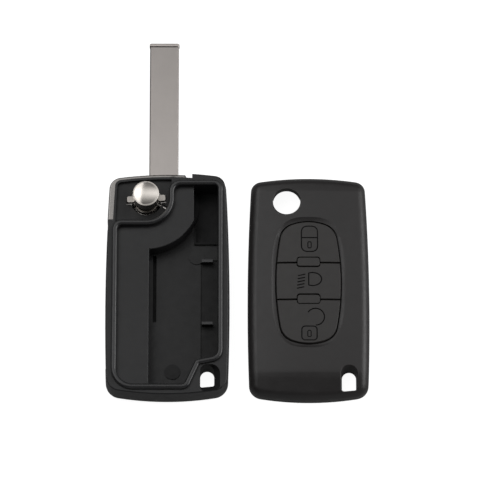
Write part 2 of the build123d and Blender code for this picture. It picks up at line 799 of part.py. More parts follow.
export_step(key_pad.part, "parts/key_pad.step")


def pad_key(low_y, high_y, place_y):
    """One key between two division lines, with its flange and plunger."""
    with BuildPart() as key:
        with BuildSketch(cover_plane.offset(frame_z - key_flange_gap)):
            with Locations((0, pad_centre_y)):
                add(pad_outline(key_gap))
            with Locations((0, low_y + key_gap)):
                Rectangle(
                    key_width,
                    high_y - low_y - 2 * key_gap,
                    align=(Align.CENTER, Align.MIN),
                    mode=Mode.INTERSECT,
                )
        extrude(amount=cover_height)
        add(under_crown(key_sink), mode=Mode.INTERSECT)
        fillet(key.faces().sort_by(Axis.Z)[-1].edges(), key_edge_round)
        with BuildSketch(cover_plane.offset(flange_z)):
            with Locations((0, pad_centre_y)):
                add(pad_outline(-key_flange_width))
            with Locations((0, low_y + key_gap)):
                Rectangle(
                    key_width,
                    high_y - low_y - 2 * key_gap,
                    align=(Align.CENTER, Align.MIN),
                    mode=Mode.INTERSECT,
                )
        extrude(amount=key_flange_thickness)
        with BuildSketch(cover_plane.offset(flange_z)):
            add(tab_outline(key_gap))
        extrude(amount=cover_height, mode=Mode.SUBTRACT)
        with BuildSketch(cover_plane.offset(sheet_z - key_plunger_reach)):
            with Locations((0, place_y)):
                Circle(key_plunger_radius)
        extrude(amount=flange_z - sheet_z + key_plunger_reach)
    return key.part


lock_key = pad_key(upper_division_y, pad_centre_y + pad_length, upper_key_y)
lights_key = pad_key(lower_division_y, upper_division_y, middle_key_y)
unlock_key = pad_key(pad_centre_y - pad_length, lower_division_y, lower_key_y)
for name, key in [("lock_key", lock_key), ("lights_key", lights_key), ("unlock_key", unlock_key)]:
    key.label = name
    export_step(key, f"parts/{name}.step")
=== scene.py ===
"""Car key with a folding blade, opened into its two halves: finishes, signs, light and camera."""

from contextlib import contextmanager
from math import atan, copysign, cos, hypot, inf, pi, radians, sin

import bmesh
import bpy
from bpy.props import FloatProperty, FloatVectorProperty, PointerProperty
from mathutils import Matrix, Vector


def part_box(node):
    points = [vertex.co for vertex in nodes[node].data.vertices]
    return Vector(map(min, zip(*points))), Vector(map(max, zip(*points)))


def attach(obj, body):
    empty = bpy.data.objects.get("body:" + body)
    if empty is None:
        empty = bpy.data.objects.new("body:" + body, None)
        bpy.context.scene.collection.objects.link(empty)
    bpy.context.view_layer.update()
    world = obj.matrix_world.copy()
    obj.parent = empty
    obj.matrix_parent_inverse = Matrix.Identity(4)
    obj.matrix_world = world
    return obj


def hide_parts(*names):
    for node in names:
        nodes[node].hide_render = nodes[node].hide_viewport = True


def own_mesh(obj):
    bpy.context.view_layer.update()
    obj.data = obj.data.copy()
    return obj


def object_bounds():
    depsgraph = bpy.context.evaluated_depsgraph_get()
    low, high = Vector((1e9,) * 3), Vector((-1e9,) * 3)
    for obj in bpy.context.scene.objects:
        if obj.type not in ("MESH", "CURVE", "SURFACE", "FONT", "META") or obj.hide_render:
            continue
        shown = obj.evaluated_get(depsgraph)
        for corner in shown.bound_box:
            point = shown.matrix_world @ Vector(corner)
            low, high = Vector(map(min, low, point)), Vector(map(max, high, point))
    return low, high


bl_info = {
    "name": "Car key halves",
    "version": (1, 0, 0),
    "blender": (4, 5, 0),
    "location": "View3D > Sidebar > Car Key",
    "description": "Finishes, signs and stage of an opened car key with a folding blade",
    "category": "Object",
}

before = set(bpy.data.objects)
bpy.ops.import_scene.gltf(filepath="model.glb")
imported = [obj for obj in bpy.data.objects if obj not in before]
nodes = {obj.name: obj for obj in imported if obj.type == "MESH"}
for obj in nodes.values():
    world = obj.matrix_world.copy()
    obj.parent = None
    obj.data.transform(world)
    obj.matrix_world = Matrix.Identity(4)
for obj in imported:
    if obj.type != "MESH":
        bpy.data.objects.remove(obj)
cad_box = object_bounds()

MM = 0.001
MICRON = 0.000001

# Up to SMOOTH_ANGLE an edge is smoothed. Faces within FLAT_ANGLE are joined into one. A corner
# keeps the normal of a plane that fills PLANE_SHARE of its faces, to within PLANE_ANGLE.
SMOOTH_ANGLE = radians(32)
FLAT_ANGLE = radians(0.04)
PLANE_ANGLE = radians(0.3)
PLANE_SHARE = 0.85
LEVEL = 0.9  # a face whose normal rises more than this is level
UPWARD = 0.5  # and one whose normal rises more than this faces up
MERGE_DISTANCE = 2 * MICRON
NEAR = 0.01 * MM  # heights closer than this are the same

HALF_CASE = 19.05 * MM  # from the middle of the rear case to its right edge
OVAL_RAISE = 0.8 * MM  # from the middle of the cover up to the middle of the keys' oval

# The places that the rest is measured from: the middles of the cover, of the oval of its keys and
# of the rear case, and the axis of the button
cover_low, cover_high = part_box("front_cover")
COVER_MIDDLE = ((cover_low[0] + cover_high[0]) / 2, (cover_low[1] + cover_high[1]) / 2)
OVAL_MIDDLE = (COVER_MIDDLE[0], COVER_MIDDLE[1] + OVAL_RAISE)
CASE_MIDDLE = (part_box("rear_case")[1][0] - HALF_CASE, COVER_MIDDLE[1], 0)
button_low, button_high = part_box("release_button")
BUTTON_AXIS = Vector(
    ((button_low[0] + button_high[0]) / 2, (button_low[1] + button_high[1]) / 2, 0))


def linear(red, green, blue):
    """Scene colour of an 8-bit display colour."""
    def channel(value):
        value /= 255
        return value / 12.92 if value <= 0.04045 else ((value + 0.055) / 1.055) ** 2.4
    return (channel(red), channel(green), channel(blue))


class CarKeyColours(bpy.types.PropertyGroup):
    """Colours of the pieces"""
    case: FloatVectorProperty(
        name="Rear case", description="Black plastic of the rear case",
        subtype="COLOR", size=3, default=linear(31, 31, 32))
    cover: FloatVectorProperty(
        name="Front cover", description="Black satin plastic of the front cover",
        subtype="COLOR", size=3, default=linear(44, 42, 42))
    keys: FloatVectorProperty(
        name="Keys", description="Matt grey rubber of the keys",
        subtype="COLOR", size=3, default=linear(53, 51, 50))
    # painted shade: near-black for the engraved lines, darker than their grooves alone
    signs: FloatVectorProperty(
        name="Signs", description="Engraved lines of the signs on the keys",
        subtype="COLOR", size=3, default=linear(14, 14, 14))
    blade: FloatVectorProperty(
        name="Blade", description="Warm satin steel of the blade",
        subtype="COLOR", size=3, default=linear(187, 181, 177))
    head: FloatVectorProperty(
        name="Blade head", description="Bright die-cast metal of the head",
        subtype="COLOR", size=3, default=linear(152, 149, 146))
    chrome: FloatVectorProperty(
        name="Button", description="Chrome of the release button",
        subtype="COLOR", size=3, default=linear(224, 218, 211))
    spring: FloatVectorProperty(
        name="Spring", description="Drawn steel of the flip spring",
        subtype="COLOR", size=3, default=linear(206, 202, 198))


class CarKeySizes(bpy.types.PropertyGroup):
    """Sizes of what the scene cuts into the solids or draws in on them"""
    rib_drop: FloatProperty(
        name="Clip rib drop", description="How far the clip ribs are lowered",
        unit="LENGTH", precision=5, default=3.0 * MM)
    dish_floor: FloatVectorProperty(
        name="Dish floor", description="Half width and length of the dish around the keys",
        unit="LENGTH", precision=5, size=2, default=(10.3 * MM, 20.15 * MM))
    dish_rim: FloatVectorProperty(
        name="Dish rim", description="Half width and length of the dish at its rim",
        unit="LENGTH", precision=5, size=2, default=(11.9 * MM, 21.75 * MM))
    dish_level: FloatProperty(
        name="Dish level", description="Height of the dish's floor above the table",
        unit="LENGTH", precision=5, default=6.4 * MM)
    dish_rise: FloatProperty(
        name="Dish rise", description="From the dish's floor up to its rim",
        unit="LENGTH", precision=5, default=0.72 * MM)
    groove: FloatVectorProperty(
        name="Key groove", description="Share by which the keys are drawn in, across and along",
        size=2, precision=3, default=(0.028, 0.014))
    sign_depths: FloatVectorProperty(
        name="Sign depths", description="Depths of the signs on the lock, lights and unlock keys",
        unit="LENGTH", precision=5, size=3, default=(0.38 * MM, 0.3 * MM, 0.42 * MM))
    tip_line: FloatProperty(
        name="Tip line", description="Half width and depth of the line scored across the blade",
        unit="LENGTH", precision=5, default=0.22 * MM)
    head_edge: FloatVectorProperty(
        name="Head edge", description="Width and drop of the bevel around the head's top",
        unit="LENGTH", precision=5, size=2, default=(0.6 * MM, 0.3 * MM))
    dome_share: FloatProperty(
        name="Dome share", description="Share of the solid dome's height that the dome keeps",
        subtype="FACTOR", min=0, max=1, default=0.4)
    lug_round: FloatProperty(
        name="Lug rounding", description="Rounding of the outer corners of the button's lugs",
        unit="LENGTH", precision=5, default=0.4 * MM)


class CarKeyStage(bpy.types.PropertyGroup):
    """Camera, lights and floor"""
    elevation: FloatProperty(
        name="Camera elevation", description="Angle of the view above the table",
        subtype="ANGLE", default=radians(69.25))
    distance: FloatProperty(
        name="Camera distance", description="From the camera to the point it looks at",
        unit="LENGTH", default=1.5)
    view_width: FloatProperty(
        name="View width", description="Width of the picture at the table",
        unit="LENGTH", default=0.148)
    look_x: FloatProperty(
        name="Look at X", description="Middle of the picture on the table, across",
        unit="LENGTH", default=0.00083)
    look_y: FloatProperty(
        name="Look at Y", description="Middle of the picture on the table, along",
        unit="LENGTH", default=-0.00515)
    right_panel: FloatProperty(
        name="Right panel", description="Brightness of the panel at the right", default=2.8)
    left_panel: FloatProperty(
        name="Left panel", description="Brightness of the panel high at the left", default=1.08)
    surround: FloatProperty(
        name="Surround", description="Brightness of the even light above", default=1.0)
    floor_glow: FloatProperty(
        name="Floor glow", description="Lifts the floor to white in the picture", default=0.94)
    mirrored_glow: FloatProperty(
        name="Mirrored glow", description="Lifts the floor where metal mirrors it", default=0.06)
    floor: FloatVectorProperty(
        name="Floor", description="Plain pale floor",
        subtype="COLOR", size=3, default=(0.4, 0.4, 0.4))


# Finishes. The scales of their patterns are about the number of spots in a metre.

PLASTIC_CLOUDS = 90
PLASTIC_PATCHES = 420
METAL_CLOUDS = 160


def new_material(name):
    material = bpy.data.materials.new(name)
    material.use_nodes = True
    shader = material.node_tree.nodes["Principled BSDF"]
    return material, material.node_tree, shader


def object_coordinates(tree, scale=(1, 1, 1)):
    source = tree.nodes.new("ShaderNodeTexCoord")
    mapping = tree.nodes.new("ShaderNodeMapping")
    mapping.inputs["Scale"].default_value = scale
    tree.links.new(source.outputs["Object"], mapping.inputs["Vector"])
    return mapping.outputs["Vector"]


def noise(tree, vector, scale, detail=3.0, roughness=0.5):
    texture = tree.nodes.new("ShaderNodeTexNoise")
    texture.inputs["Scale"].default_value = scale
    texture.inputs["Detail"].default_value = detail
    texture.inputs["Roughness"].default_value = roughness
    tree.links.new(vector, texture.inputs["Vector"])
    return texture.outputs["Fac"]


def ramp(tree, value, low, high, at_low=0.3, at_high=0.7):
    """Colour ramp from low to high; both are grey values or colours."""
    node = tree.nodes.new("ShaderNodeValToRGB")
    ends = node.color_ramp.elements
    for end, place, colour in ((ends[0], at_low, low), (ends[1], at_high, high)):
        end.position = place
        if isinstance(colour, float):
            colour = (colour, colour, colour)
        end.color = (*colour, 1)
    tree.links.new(value, node.inputs["Fac"])
    return node.outputs["Color"]


def add_bump(tree, shader, height, strength, distance):
    bump = tree.nodes.new("ShaderNodeBump")
    bump.inputs["Strength"].default_value = strength
    bump.inputs["Distance"].default_value = distance
    tree.links.new(height, bump.inputs["Height"])
    tree.links.new(bump.outputs["Normal"], shader.inputs["Normal"])


def shaded(colour, factor):
    return tuple(channel * factor for channel in colour)


def moulded_plastic(name, colour, grain, grain_depth, roughness, mottling, gloss):
    """Plastic or rubber with a fine spark-eroded grain and faint clouding.

    The roughness varies between two values, and the colour by the share that is the mottling.
    """
    material, tree, shader = new_material(name)
    shader.inputs["Specular IOR Level"].default_value = gloss
    vector = object_coordinates(tree)
    clouds = noise(tree, vector, PLASTIC_CLOUDS, 4)
    tint = ramp(tree, clouds, shaded(colour, 1 - mottling), shaded(colour, 1 + mottling))
    tree.links.new(tint, shader.inputs["Base Color"])
    patches = noise(tree, vector, PLASTIC_PATCHES, 5)
    tree.links.new(ramp(tree, patches, *roughness), shader.inputs["Roughness"])
    add_bump(tree, shader, noise(tree, vector, grain, 2), 0.5, grain_depth)
    return material


def worked_metal(name, colour, roughness, lines, line_depth, painted_falloff=None, metallic=1.0):
    """Metal with fine tool lines, whose pattern has these scales along X, Y and Z.

    The roughness varies between two values. Where painted_falloff gives two places along Y, the
    metal darkens a little from the first to the second, a painted shade that stands in for light
    falling off along it.
    """
    material, tree, shader = new_material(name)
    shader.inputs["Metallic"].default_value = metallic
    vector = object_coordinates(tree, lines)
    strokes = noise(tree, vector, 1.0, 4, 0.6)
    clouds = noise(tree, object_coordinates(tree), METAL_CLOUDS, 3)
    tint = ramp(tree, clouds, shaded(colour, 0.95), colour)
    if painted_falloff:
        # painted shade: the colour is multiplied by a ramp that darkens it along Y
        parts = tree.nodes.new("ShaderNodeSeparateXYZ")
        tree.links.new(object_coordinates(tree), parts.inputs["Vector"])
        spread = tree.nodes.new("ShaderNodeMapRange")
        spread.inputs["From Min"].default_value, spread.inputs["From Max"].default_value = painted_falloff
        tree.links.new(parts.outputs["Y"], spread.inputs["Value"])
        falloff_shade = tree.nodes.new("ShaderNodeMix")
        falloff_shade.data_type = "RGBA"
        falloff_shade.blend_type = "MULTIPLY"
        falloff_shade.inputs["Factor"].default_value = 1.0
        # Sockets 6 and 7 are the two colours, and output 2 is their mix
        tree.links.new(tint, falloff_shade.inputs[6])
        tree.links.new(
            ramp(tree, spread.outputs["Result"], 1.0, 0.78, 0.0, 1.0), falloff_shade.inputs[7])
        tint = falloff_shade.outputs[2]
    tree.links.new(tint, shader.inputs["Base Color"])
    tree.links.new(ramp(tree, strokes, *roughness), shader.inputs["Roughness"])
    add_bump(tree, shader, strokes, 0.4, line_depth)
    return material


# Meshes


def finish_piece(piece, body, slot, *replaced):
    """Parents a finished piece to the empty of its body and hides the CAD parts that it replaces.
    """
    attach(piece, body)
    if replaced:
        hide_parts(*replaced)


def new_piece(name, shape):
    mesh = bpy.data.meshes.new(name)
    shape.to_mesh(mesh)
    shape.free()
    piece = bpy.data.objects.new(name, mesh)
    bpy.context.scene.collection.objects.link(piece)
    return piece


@contextmanager
def edited(piece):
    """The piece's mesh as a bmesh, which is written back afterwards."""
    shape = bmesh.new()
    shape.from_mesh(piece.data)
    yield shape
    shape.to_mesh(piece.data)
    shape.free()


def all_of(shape):
    return shape.verts[:] + shape.edges[:] + shape.faces[:]


def fan_of(corner, smooth):
    """Corners around a vertex that are joined to this one by smooth edges."""
    vertex = corner.vert
    fan, waiting = {corner}, [corner]
    while waiting:
        current = waiting.pop()
        for edge in (current.edge, current.link_loop_prev.edge):
            if not smooth[edge.index]:
                continue
            for other in edge.link_loops:
                beside = other if other.vert is vertex else other.link_loop_next
                if beside not in fan:
                    fan.add(beside)
                    waiting.append(beside)
    return fan


def fan_normal(fan):
    """Normal of the plane that fills most of the fan, or else the faces' average."""
    faces = [corner.face for corner in fan]
    areas = [face.calc_area() for face in faces]
    total = sum(areas)
    widest = faces[areas.index(max(areas))].normal
    in_plane = sum(
        area for face, area in zip(faces, areas)
        if face.normal.angle(widest, 0) < PLANE_ANGLE)
    if in_plane > PLANE_SHARE * total:
        return widest.copy()
    average = Vector()
    for face, area in zip(faces, areas):
        average += face.normal * area
    return average.normalized()


def shade(piece):
    """Smooths a piece within each finish and keeps flat faces flat beside their fillets."""
    mesh = piece.data
    mesh.polygons.foreach_set("use_smooth", [True] * len(mesh.polygons))
    mesh.set_sharp_from_angle(angle=SMOOTH_ANGLE)
    shape = bmesh.new()
    shape.from_mesh(mesh)
    shape.edges.index_update()
    smooth = [
        edge.calc_face_angle(pi) < SMOOTH_ANGLE
        and len({face.material_index for face in edge.link_faces}) == 1
        for edge in shape.edges]
    corners = [corner for face in shape.faces for corner in face.loops]
    normals = {}
    for corner in corners:
        if corner not in normals:
            fan = fan_of(corner, smooth)
            normal = fan_normal(fan)
            for member in fan:
                normals[member] = normal
    mesh.normals_split_custom_set([normals[corner] for corner in corners])
    shape.free()


def moulded_copy(node, name):
    """Merged copy of a CAD node, its flat areas joined into single faces."""
    shape = bmesh.new()
    shape.from_mesh(nodes[node].data)
    bmesh.ops.remove_doubles(shape, verts=shape.verts, dist=MERGE_DISTANCE)
    bmesh.ops.dissolve_limit(
        shape, angle_limit=FLAT_ANGLE, verts=shape.verts, edges=shape.edges)
    return new_piece(name, shape)


def cut_out(piece, cutter):
    """Cuts a closed mesh out of a piece, with the cutter's finish on the cut, and removes it."""
    cut = piece.modifiers.new("Cut", "BOOLEAN")
    cut.operation = "DIFFERENCE"
    cut.solver = "EXACT"
    cut.use_self = True
    cut.material_mode = "TRANSFER"
    cut.object = cutter
    bpy.context.view_layer.update()
    ready = piece.evaluated_get(bpy.context.evaluated_depsgraph_get())
    mesh = bpy.data.meshes.new_from_object(ready)
    piece.modifiers.clear()
    piece.data = mesh
    bpy.data.objects.remove(cutter)


# Rear case. Each finish has a name, its share of the case's colour, grain and grain depth,
# roughness, mottling and gloss.

CASE_FINISHES = (
    ("case", 1.0, 5200, 12 * MICRON, (0.34, 0.44), 0.1, 0.46),
    # half the case's colour: painted shade in the deep corner pocket and the slot in the floor
    ("eroded", 0.5, 3600, 30 * MICRON, (0.55, 0.65), 0.1, 0.3),
    # half the case's colour: painted shade in the channel by the right wall, and the round rest
    # mark's own duller tone
    ("dull", 0.5, 3600, 20 * MICRON, (0.5, 0.6), 0.1, 0.36),
    # painted highlight: four and a half times the case's colour on the tops of the clip ribs
    ("worn", 4.5, 5200, 12 * MICRON, (0.3, 0.4), 0.2, 0.5),
    # a little rougher, and 0.7 of the case's colour: painted shade on the sunk floor and the hub
    # plate
    ("matt", 0.7, 5200, 15 * MICRON, (0.4, 0.5), 0.12, 0.42),
    # smoother, and 1.6 times the case's colour: a painted highlight on the tongue
    ("polished", 1.6, 5200, 10 * MICRON, (0.26, 0.34), 0.1, 0.6),
)

# The finishes' places, in millimetres from CASE_MIDDLE along X, Y and Z, and whether only level
# faces have them. The first place that holds a face decides.
ANYWHERE = (-inf, inf)
CASE_PLACES = (
    # painted shade in the deep corner pocket
    ("eroded", (8.2, 15.5), (15.0, 31.6), (0.9, 7.0), False),  # corner pocket
    # painted shade in the channel
    ("dull", (10.1, 15.5), (-24.6, 15.0), (1.6, 2.4), False),  # channel
    # painted shade in the slot in the floor
    ("eroded", (-5.2, -2.8), (-11.0, 11.4), (0.9, 2.15), False),  # slot in the floor
    # painted highlight on the tops of the clip ribs
    ("worn", (10.4, 14.0), ANYWHERE, (3.9, 4.1), True),  # tops of the clip ribs
    # painted highlight on the tongue
    ("polished", ANYWHERE, ANYWHERE, (9.3, inf), False),  # tongue
    # painted shade on the sunk floor and the hub plate
    ("matt", ANYWHERE, ANYWHERE, (2.1, 2.55), True),  # floor
    ("matt", (-inf, 0), (20, inf), (7.4, 7.6), True),  # hub plate
)

# Round rest on the floor: its middle, radius and height range
REST_MIDDLE = (1.6, -26.8)
REST_RADIUS = 2.5
REST_HEIGHTS = (2.2, 2.55)

# Tops of the clip ribs as the solid has them: ranges along X and Z, middles and reach along Y
RIB_WIDTH = (10.4, 14.0)
RIB_TOPS = (6.5, 7.1)
RIB_MIDDLES = (8.8, -11.5)
RIB_REACH = 0.6


class CARKEY_OT_rear_case(bpy.types.Operator):
    """Rear case: black moulding that carries the blade head"""
    bl_idname = "car_key.rear_case"
    bl_label = "Rear Case"

    def execute(self, context):
        colour = context.scene.car_key_colours.case
        case = moulded_copy("rear_case", "rear_case_moulding")
        for vertex in case.data.vertices:
            if self.on_rib_top(*self.from_middle(vertex.co)):
                vertex.co.z -= context.scene.car_key_sizes.rib_drop
        shade(case)
        for name, share, *surface in CASE_FINISHES:
            case.data.materials.append(
                moulded_plastic(name + "_plastic", shaded(colour, share), *surface))
        names = [finish[0] for finish in CASE_FINISHES]
        for face in case.data.polygons:
            face.material_index = names.index(
                self.finish_at(self.from_middle(face.center), face.normal.z > LEVEL))
        finish_piece(case, "shell", "case_plastic", "rear_case")
        return {"FINISHED"}

    def from_middle(self, place):
        """Place in millimetres from the middle of the case."""
        return [(value - middle) / MM for value, middle in zip(place, CASE_MIDDLE)]

    def on_rib_top(self, x, y, z):
        return (
            RIB_WIDTH[0] < x < RIB_WIDTH[1] and RIB_TOPS[0] < z < RIB_TOPS[1]
            and min(abs(y - middle) for middle in RIB_MIDDLES) < RIB_REACH)

    def finish_at(self, place, level):
        """Name of the finish of a face with this middle."""
        x, y, z = place
        on_rest = hypot(x - REST_MIDDLE[0], y - REST_MIDDLE[1]) < REST_RADIUS
        if on_rest and REST_HEIGHTS[0] < z < REST_HEIGHTS[1]:
            return "dull"
        for finish, *ranges, level_only in CASE_PLACES:
            inside = all(low < value < high for value, (low, high) in zip(place, ranges))
            if inside and (level or not level_only):
                return finish
        return "case"


# Front cover

DISH_SEGMENTS = 144
DISH_EXPONENT = 3.2  # of the superellipse that the dish's outline is

# Where the crown falls away further: from this place along Y, in this direction, by this share
# of the distance. Above FALL_HEIGHT the cover falls in full, and below it by less.
CROWN_FALLS = ((31.0 * MM, 1, 0.13), (-28.2 * MM, -1, 0.05))
FALL_HEIGHT = 5 * MM

# Small wall beside the keyring slot, from the middle of the cover
SLOT_WALL_PLACE = (11.78 * MM, -26.3 * MM, 0.9 * MM)
SLOT_WALL_SIZE = (0.9 * MM, 0.08 * MM, 0.8 * MM)
SLOT_WALL_TURN = radians(11.5)


class CARKEY_OT_front_cover(bpy.types.Operator):
    """Front cover: satin moulding around the keys"""
    bl_idname = "car_key.front_cover"
    bl_label = "Front Cover"

    def execute(self, context):
        plastic, dish = (
            moulded_plastic(
                name, context.scene.car_key_colours.cover, grain=6500, grain_depth=16 * MICRON,
                roughness=(0.34, 0.42), mottling=0.06, gloss=0.5)
            for name in ("cover_plastic", "dish_plastic"))
        cover = moulded_copy("front_cover", "front_cover_moulding")
        cover.data.materials.append(plastic)
        self.dish_around_keys(cover, dish, context.scene.car_key_sizes)
        with edited(cover) as shape:
            self.slope_ends(shape)
            self.close_slot(shape)
        shade(cover)
        finish_piece(cover, "shell", "cover_plastic", "front_cover")
        return {"FINISHED"}

    def dish_around_keys(self, cover, finish, sizes):
        """Shallow dish around the oval of the keys, cut with a flared plug."""
        shape = bmesh.new()
        bmesh.ops.create_circle(shape, cap_ends=True, radius=1, segments=DISH_SEGMENTS)
        for vertex in shape.verts:
            for axis, half in enumerate(sizes.dish_floor):
                place = vertex.co[axis]
                vertex.co[axis] = copysign(half * abs(place) ** (2 / DISH_EXPONENT), place)
        raised = bmesh.ops.extrude_face_region(shape, geom=shape.faces[:])["geom"]
        flared = [item for item in raised if isinstance(item, bmesh.types.BMVert)]
        flare = [rim / floor for rim, floor in zip(sizes.dish_rim, sizes.dish_floor)]
        bmesh.ops.scale(shape, verts=flared, vec=(*flare, 1))
        bmesh.ops.translate(shape, verts=flared, vec=(0, 0, sizes.dish_rise))
        bmesh.ops.recalc_face_normals(shape, faces=shape.faces)
        bmesh.ops.translate(shape, verts=shape.verts, vec=(*OVAL_MIDDLE, sizes.dish_level))
        plug = new_piece("key_dish", shape)
        plug.data.materials.append(finish)
        cut_out(cover, plug)

    def slope_ends(self, shape):
        """Lets the crown fall away towards both ends."""
        for start, side, fall in CROWN_FALLS:
            line = COVER_MIDDLE[1] + start
            bmesh.ops.bisect_plane(
                shape, geom=all_of(shape), plane_co=(0, line, 0), plane_no=(0, 1, 0))
            for vertex in shape.verts:
                beyond = side * (vertex.co.y - line)
                if beyond > 0:
                    vertex.co.z -= fall * beyond * min(1, vertex.co.z / FALL_HEIGHT)

    def close_slot(self, shape):
        """Closes the thin place in the wall beside the keyring slot."""
        x, y, z = SLOT_WALL_PLACE
        place = Matrix.Translation((COVER_MIDDLE[0] + x, COVER_MIDDLE[1] + y, z))
        turn = Matrix.Rotation(SLOT_WALL_TURN, 4, "Z")
        bmesh.ops.create_cube(
            shape, size=1, matrix=place @ turn @ Matrix.Diagonal((*SLOT_WALL_SIZE, 1)))


# Signs, in millimetres from the middle of the cover, as cutters for the keys

SIGN_LINE = 0.36  # width of the lines
SIGN_REACH = 1.5 * MM  # how far a cutter reaches above the bottom of its lines
LAMP_BULGE = 1.36  # how far the headlamp's round is stretched to reach its width
LAMP_BACK = 0.32  # share of the headlamp's width that lies left of the round's middle


def flat_box(width, height, round_by=0.0):
    """Flat rectangle with rounded corners."""
    shape = bmesh.new()
    bmesh.ops.create_grid(shape, x_segments=1, y_segments=1, size=0.5 * MM)
    bmesh.ops.scale(shape, verts=shape.verts, vec=(width, height, 1))
    if round_by:
        bmesh.ops.bevel(
            shape, geom=shape.verts[:], offset=round_by * MM, segments=6, profile=0.5,
            affect="VERTICES", material=-1)
    return shape


def flat_lamp(width, height):
    """Flat headlamp, straight at the left and bulging to the right."""
    shape = bmesh.new()
    bmesh.ops.create_circle(shape, cap_ends=True, segments=48, radius=height / 2 * MM)
    bmesh.ops.scale(shape, verts=shape.verts, vec=(LAMP_BULGE * width / height, 1, 1))
    bmesh.ops.bisect_plane(
        shape, geom=all_of(shape), dist=1e-7, plane_co=(-LAMP_BACK * width * MM, 0, 0),
        plane_no=(-1, 0, 0), clear_outer=True)
    return shape


def rim_line(shape, line):
    """Leaves only a line along the rim of a flat shape."""
    ring = bmesh.ops.inset_region(
        shape, faces=shape.faces[:], thickness=line * MM, use_boundary=True,
        use_even_offset=True)["faces"]
    middle = [face for face in shape.faces if face not in ring]
    bmesh.ops.delete(shape, geom=middle, context="FACES_ONLY")
    return shape


def upright(shape):
    """Turns a flat shape into a solid that reaches above the key."""
    lifted = bmesh.ops.extrude_face_region(shape, geom=shape.faces[:])["geom"]
    tops = [part for part in lifted if isinstance(part, bmesh.types.BMVert)]
    bmesh.ops.translate(shape, verts=tops, vec=(0, 0, SIGN_REACH))
    return shape


def bow(radius, line, start, turn):
    """Upright arc of a line about the origin, such as the shackle of a padlock."""
    shape = bmesh.new()
    bmesh.ops.create_grid(shape, x_segments=1, y_segments=1, size=0.5)
    bmesh.ops.scale(shape, verts=shape.verts, vec=(line * MM, SIGN_REACH, 1))
    bmesh.ops.rotate(
        shape, verts=shape.verts, cent=(0, 0, 0), matrix=Matrix.Rotation(pi / 2, 3, "X"))
    bmesh.ops.translate(shape, verts=shape.verts, vec=(radius * MM, 0, SIGN_REACH / 2))
    bmesh.ops.rotate(
        shape, verts=shape.verts, cent=(0, 0, 0), matrix=Matrix.Rotation(start, 3, "Z"))
    bmesh.ops.spin(
        shape, geom=all_of(shape), cent=(0, 0, 0), axis=(0, 0, 1), angle=turn, steps=30,
        use_merge=False, use_duplicate=False)
    return shape


def place_sign(cutter, shape, x, y, turn=0.0):
    """Turns one shape, puts it in its place and adds it to the cutter."""
    bmesh.ops.rotate(
        shape, verts=shape.verts, cent=(0, 0, 0), matrix=Matrix.Rotation(turn, 3, "Z"))
    bmesh.ops.translate(shape, verts=shape.verts, vec=(x * MM, y * MM, 0))
    bmesh.ops.recalc_face_normals(shape, faces=shape.faces)
    mesh = bpy.data.meshes.new("sign_part")
    shape.to_mesh(mesh)
    shape.free()
    cutter.from_mesh(mesh)
    bpy.data.meshes.remove(mesh)


def padlock_body(cutter, x, y, width, height, round_by, hole_y):
    """Line around a padlock's body and around its keyhole."""
    place_sign(cutter, upright(rim_line(flat_box(width, height, round_by), SIGN_LINE)), x, y)
    place_sign(cutter, upright(rim_line(flat_box(1.3, 2.3, 0.5), 0.8 * SIGN_LINE)), x, hole_y)


def closed_padlock():
    cutter = bmesh.new()
    padlock_body(cutter, x=0.35, y=14.9, width=5.3, height=8.7, round_by=1.9, hole_y=12.9)
    place_sign(cutter, upright(flat_box(4.9, SIGN_LINE)), 0.35, 15.3)
    return cutter


def headlamp():
    cutter = bmesh.new()
    place_sign(cutter, upright(rim_line(flat_lamp(4.3, 4.6), SIGN_LINE)), 1.25, 1.7)
    for step in range(5):
        beam = upright(flat_box(2.3, SIGN_LINE))
        place_sign(cutter, beam, -2.1 - 0.09 * step, 3.05 - 1.03 * step, turn=radians(12))
    return cutter


def open_padlock():
    cutter = bmesh.new()
    padlock_body(cutter, x=0.2, y=-15.75, width=5.0, height=4.8, round_by=1.2, hole_y=-15.9)
    shackle = bow(2.7, SIGN_LINE, start=radians(148), turn=radians(-236))
    place_sign(cutter, shackle, 2.1, -10.5)
    return cutter


def engrave(key, node, cutter, depth, groove_shade):
    """Cuts a sign into the top of a key and gives its lines a near-black finish, a painted shade
    in the grooves.
    """
    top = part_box(node)[1][2]
    bmesh.ops.translate(cutter, verts=cutter.verts, vec=(*COVER_MIDDLE, top - depth))
    lines = new_piece("sign_lines", cutter)
    lines.data.materials.append(groove_shade)
    cut_out(key, lines)


# Keys

FLANGE_TOP = 5.28 * MM  # above it, the keys stand free in the cover's opening
TAB_TOP = 0.3 * MM  # upper part of the tabs between the keys, which is drawn in
TAB_MIDDLES = (7.4 * MM, -4.75 * MM)  # upper and lower tab along Y
TAB_DRAW = (0.04, 0.1)  # share that the tabs are drawn in, across and along


